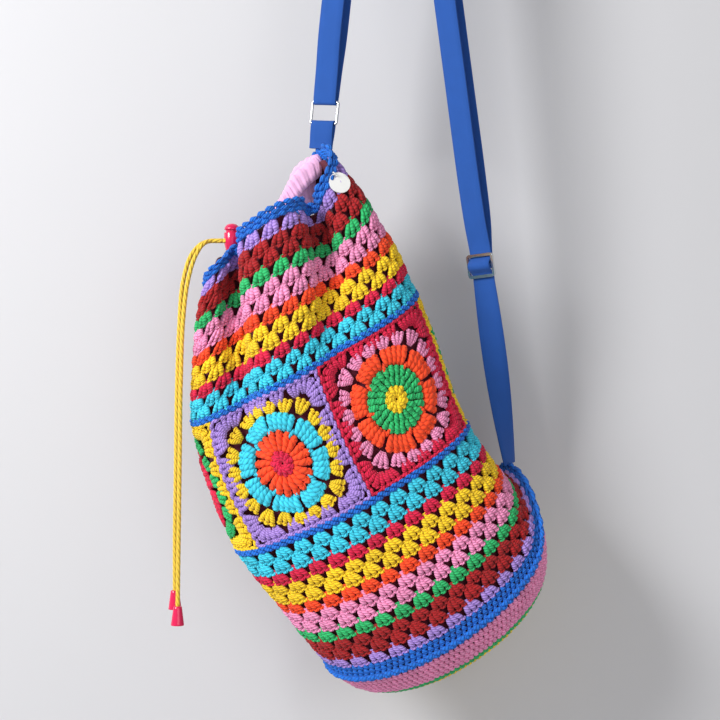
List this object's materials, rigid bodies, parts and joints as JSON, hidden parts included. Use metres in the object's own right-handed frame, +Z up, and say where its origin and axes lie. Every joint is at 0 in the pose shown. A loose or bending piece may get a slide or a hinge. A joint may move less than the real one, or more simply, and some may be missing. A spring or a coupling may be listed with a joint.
{
  "type": "drawstring shoulder bag",
  "caption": "Tall round-bottomed crochet bag with gathered drawstring mouth, cord lock and adjustable webbing strap, hanging from its strap.",
  "frame": {"origin": "inside of the top bend of the shoulder strap, where a hook carries the bag", "axes": "+Z up; the bag hangs below the origin and its front faces -Y; +X is to the right of the front"},
  "size_m": [0.3724, 0.1391, 1.0503],
  "materials": {
    "blue_yarn": "thick crochet yarn",
    "purple_yarn": "thick crochet yarn",
    "dark_red_yarn": "thick crochet yarn",
    "green_yarn": "thick crochet yarn",
    "pink_yarn": "thick crochet yarn",
    "orange_yarn": "thick crochet yarn",
    "yellow_yarn": "thick crochet yarn",
    "crimson_yarn": "thick crochet yarn",
    "cyan_yarn": "thick crochet yarn",
    "casing_cloth": "thin plain cotton",
    "lining_cloth": "thin plain cotton",
    "webbing": "woven webbing",
    "drawcord": "twisted cord",
    "plastic": "smooth moulded",
    "steel": "nickel plated",
    "white_plastic": "smooth",
    "white_thread": "thread"
  },
  "bodies": {
    "bag": {"rim_edging": "blue_yarn", "upper_round_purple": "purple_yarn", "upper_round_dark_red": "dark_red_yarn", "upper_round_green": "green_yarn", "upper_round_pink": "pink_yarn", "upper_round_orange": "orange_yarn", "upper_round_yellow": "yellow_yarn", "upper_round_crimson": "crimson_yarn", "upper_round_cyan": "cyan_yarn", "upper_joining_round": "blue_yarn", "granny_square_1": "crimson_yarn", "granny_square_2": "purple_yarn", "granny_square_3": "yellow_yarn", "granny_square_4": "cyan_yarn", "granny_square_5": "yellow_yarn", "lower_joining_round": "blue_yarn", "lower_round_cyan": "cyan_yarn", "lower_round_crimson": "crimson_yarn", "lower_round_yellow": "yellow_yarn", "lower_round_orange": "orange_yarn", "lower_round_pink": "pink_yarn", "lower_round_green": "green_yarn", "lower_round_dark_red": "dark_red_yarn", "lower_round_purple": "purple_yarn", "hem_ridge": "blue_yarn", "base_pink_rounds": "pink_yarn", "base_green_rounds": "green_yarn", "base_yellow_rounds": "yellow_yarn", "drawstring_casing": "casing_cloth", "lining": "lining_cloth", "shoulder_strap": "webbing", "ring_tab": "webbing", "drawcord_in_casing": "drawcord", "drawcord_end_front": "drawcord", "cord_end_front": "plastic", "drawcord_end_back": "drawcord", "cord_end_back": "plastic", "tag_loop": "white_thread"},
    "ring": {"rectangular_ring": "steel"},
    "slider": {"strap_slider": "steel"},
    "cord_lock": {"cord_lock_body": "plastic", "cord_lock_spring": "steel"},
    "lock_button": {"cord_lock_button": "plastic"},
    "tag": {"round_tag": "white_plastic"}
  },
  "joints": [
    {"name": "ring_swing", "type": "hinge", "parent": "bag", "child": "ring", "pos_m": [-0.06226, 0, -0.46193], "axis": [0.887, -0.4519, -0.0948], "range_deg": [-25, 25], "deforming": ["ring_tab"]},
    {"name": "slider_slide", "type": "slide", "parent": "bag", "child": "slider", "axis": [-0.1351, -0.0521, 0.9895], "range_m": [-0.06, 0.06], "deforming": ["shoulder_strap"]},
    {"name": "cord_lock_slide", "type": "slide", "parent": "bag", "child": "cord_lock", "axis": [-1, 0, 0], "range_m": [0, 0.006]},
    {"name": "lock_button_press", "type": "slide", "parent": "cord_lock", "child": "lock_button", "axis": [0, 0, -1], "range_m": [0, 0.0025], "stiffness_N_per_m": 500, "deforming": ["cord_lock_spring"]},
    {"name": "tag_swing", "type": "hinge", "parent": "bag", "child": "tag", "pos_m": [-0.05285, -0.02682, -0.53982], "axis": [0.3132, -0.8944, 0.3193], "range_deg": [-20, 20]}
  ]
}
